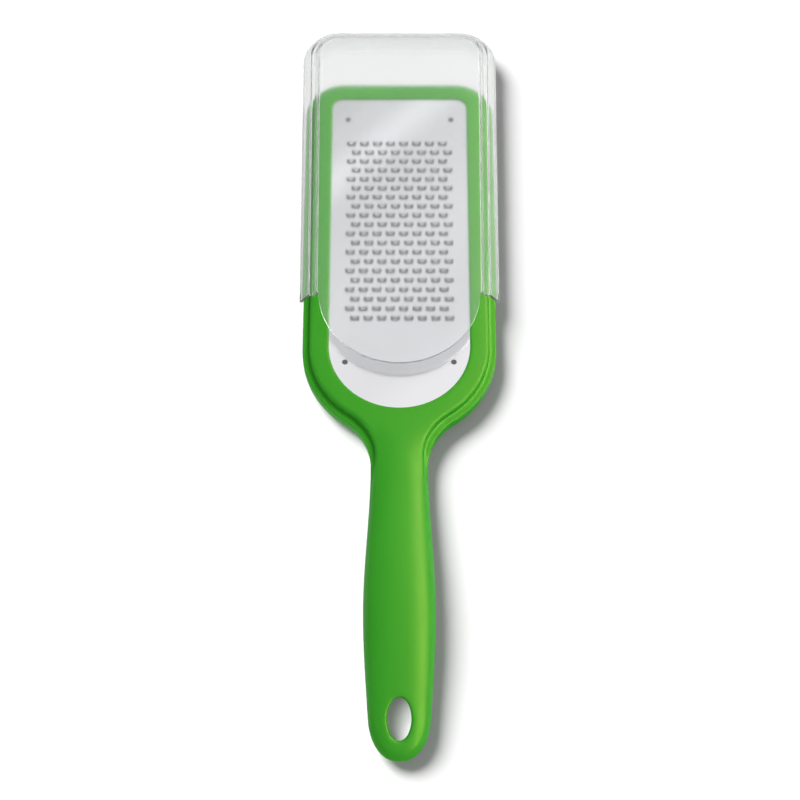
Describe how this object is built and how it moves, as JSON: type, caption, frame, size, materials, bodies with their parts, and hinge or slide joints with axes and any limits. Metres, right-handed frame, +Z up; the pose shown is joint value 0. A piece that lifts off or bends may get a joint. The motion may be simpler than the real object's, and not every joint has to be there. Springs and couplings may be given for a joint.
{
  "type": "fine grater",
  "caption": "Flat hand grater: an etched fine-tooth steel plate in a moulded frame with a handle, and a frosted cover that slides on over the teeth.",
  "frame": {"origin": "on the resting face, below the middle of the whole length with the cover as shown", "axes": "+Y along the grater from handle to tip, +Z up out of the toothed face, +X to the right"},
  "size_m": [0.0718, 0.284, 0.0156],
  "materials": {
    "green_plastic": "satin moulded",
    "etched_steel": "satin",
    "frosted_plastic": "frosted, see-through"
  },
  "bodies": {
    "grater": {"handle_frame": "green_plastic", "grater_plate": "etched_steel"},
    "cover": {"slide_cover": "frosted_plastic"}
  },
  "joints": [
    {"name": "cover_slide", "type": "slide", "parent": "grater", "child": "cover", "axis": [0, 1, 0], "range_m": [-0.022, 0.125]}
  ]
}
